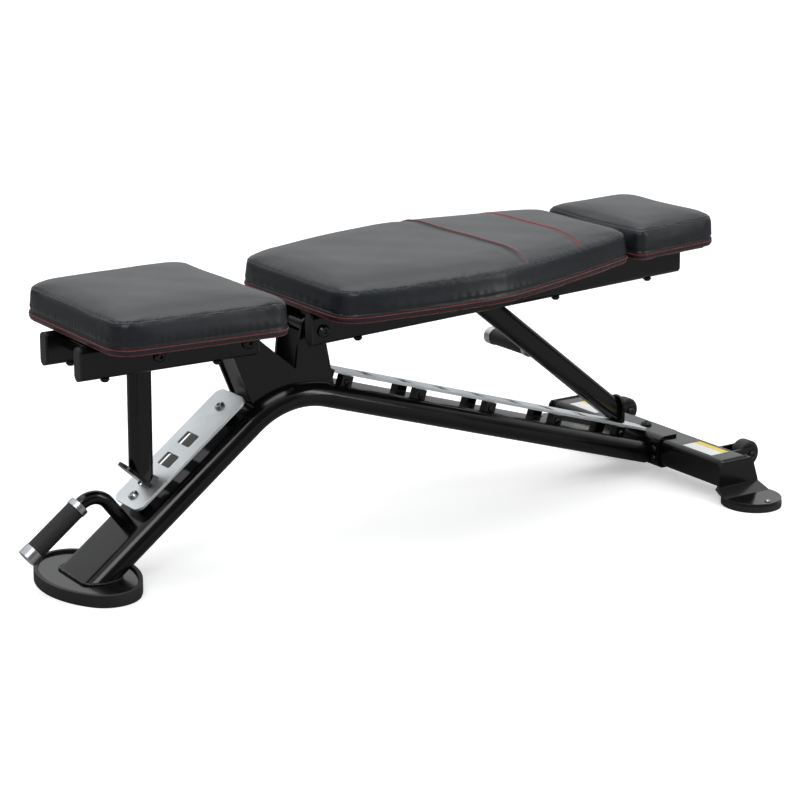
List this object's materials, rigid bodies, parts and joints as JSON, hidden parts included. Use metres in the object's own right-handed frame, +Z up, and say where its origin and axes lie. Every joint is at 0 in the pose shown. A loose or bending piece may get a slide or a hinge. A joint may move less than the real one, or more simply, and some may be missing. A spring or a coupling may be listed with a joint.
{
  "type": "adjustable weight bench",
  "caption": "Free-standing weight bench with a hinged seat, a hinged backrest with head pad, slotted ladders that set their angles, a carry handle and rear transport wheels.",
  "frame": {"origin": "centre of the front foot's underside, on the floor", "axes": "+X from the front foot toward the head end, +Y to the side with the strut handle, +Z up"},
  "size_m": [1.3781, 0.66, 0.4941],
  "materials": {
    "gloss_black_paint": "gloss",
    "black_rubber": "matte",
    "satin_aluminium": "satin",
    "zinc_plate": "satin",
    "bolt_steel": "satin",
    "black_bolt": "satin",
    "black_plastic": "matte",
    "wheel_rubber": "matte",
    "plywood": "matte",
    "dark_leather": "semi-gloss grain",
    "blank_label": "matte"
  },
  "bodies": {
    "frame": {"spine_tube": "gloss_black_paint", "yoke_near_plate": "gloss_black_paint", "yoke_far_plate": "gloss_black_paint", "yoke_front_plate": "gloss_black_paint", "front_foot_plate": "gloss_black_paint", "front_foot_rubber": "black_rubber", "carry_handle_tube": "gloss_black_paint", "carry_handle_grip": "black_rubber", "carry_handle_rings": "satin_aluminium", "seat_ladder": "zinc_plate", "seat_ladder_spacers": "gloss_black_paint", "seat_ladder_bolts": "bolt_steel", "back_ladder": "zinc_plate", "back_ladder_brackets": "gloss_black_paint", "back_ladder_screws": "black_bolt", "saddle": "gloss_black_paint", "saddle_bolts": "black_bolt", "rear_beam": "gloss_black_paint", "rear_end_plate_near": "gloss_black_paint", "rear_end_plate_far": "gloss_black_paint", "rear_foot_plates": "gloss_black_paint", "rear_foot_rubbers": "black_rubber", "rear_foot_screws": "bolt_steel", "wheel_brackets": "gloss_black_paint", "wheel_axles": "black_bolt", "blank_labels": "blank_label", "seat_pivot_axle": "black_bolt", "back_pivot_axle": "black_bolt", "pivot_spacers": "gloss_black_paint"},
    "seat": {"seat_rails": "gloss_black_paint", "seat_rail_caps": "black_plastic", "seat_cross_bars": "gloss_black_paint", "seat_board": "plywood", "seat_pad": "dark_leather", "seat_bolts": "black_bolt", "post_pivot_bolt": "black_bolt"},
    "seat_post": {"post_tube": "gloss_black_paint", "post_sleeve": "gloss_black_paint", "post_foot": "gloss_black_paint"},
    "backrest": {"back_rails": "gloss_black_paint", "back_rail_caps": "black_plastic", "back_cross_bars": "gloss_black_paint", "back_board": "plywood", "back_pad": "dark_leather", "head_board": "plywood", "head_pad": "dark_leather", "back_bolts": "black_bolt", "strut_pivot_bolt": "black_bolt"},
    "strut": {"strut_tube": "gloss_black_paint", "strut_sleeve": "gloss_black_paint", "strut_foot": "gloss_black_paint", "strut_handle_stub": "gloss_black_paint", "strut_handle_grip": "black_rubber", "strut_handle_rings": "satin_aluminium"},
    "wheel_near": {"wheel_near_tyre": "wheel_rubber", "wheel_near_hub": "black_plastic"},
    "wheel_far": {"wheel_far_tyre": "wheel_rubber", "wheel_far_hub": "black_plastic"}
  },
  "joints": [
    {"name": "seat_tilt", "type": "hinge", "parent": "frame", "child": "seat", "pos_m": [0.254, 0, 0.369], "axis": [0, 1, 0], "range_deg": [0, 16]},
    {"name": "post_swing", "type": "hinge", "parent": "seat", "child": "seat_post", "pos_m": [0.097, 0, 0.369], "axis": [0, -1, 0], "range_deg": [0, 24.5]},
    {"name": "back_tilt", "type": "hinge", "parent": "frame", "child": "backrest", "pos_m": [0.394, 0, 0.369], "axis": [0, -1, 0], "range_deg": [0, 77]},
    {"name": "strut_swing", "type": "hinge", "parent": "backrest", "child": "strut", "pos_m": [0.72463, 0, 0.38486], "axis": [0, -1, 0], "range_deg": [-113, 0]},
    {"name": "wheel_near_roll", "type": "hinge", "parent": "frame", "child": "wheel_near", "pos_m": [1.24, -0.167, 0.051], "axis": [0, 1, 0], "continuous": true},
    {"name": "wheel_far_roll", "type": "hinge", "parent": "frame", "child": "wheel_far", "pos_m": [1.24, 0.167, 0.051], "axis": [0, 1, 0], "continuous": true}
  ],
  "couplings": [
    {"joint": "post_swing", "follows": "seat_tilt", "ratio": 1.5},
    {"joint": "strut_swing", "follows": "back_tilt", "ratio": -1.46}
  ]
}
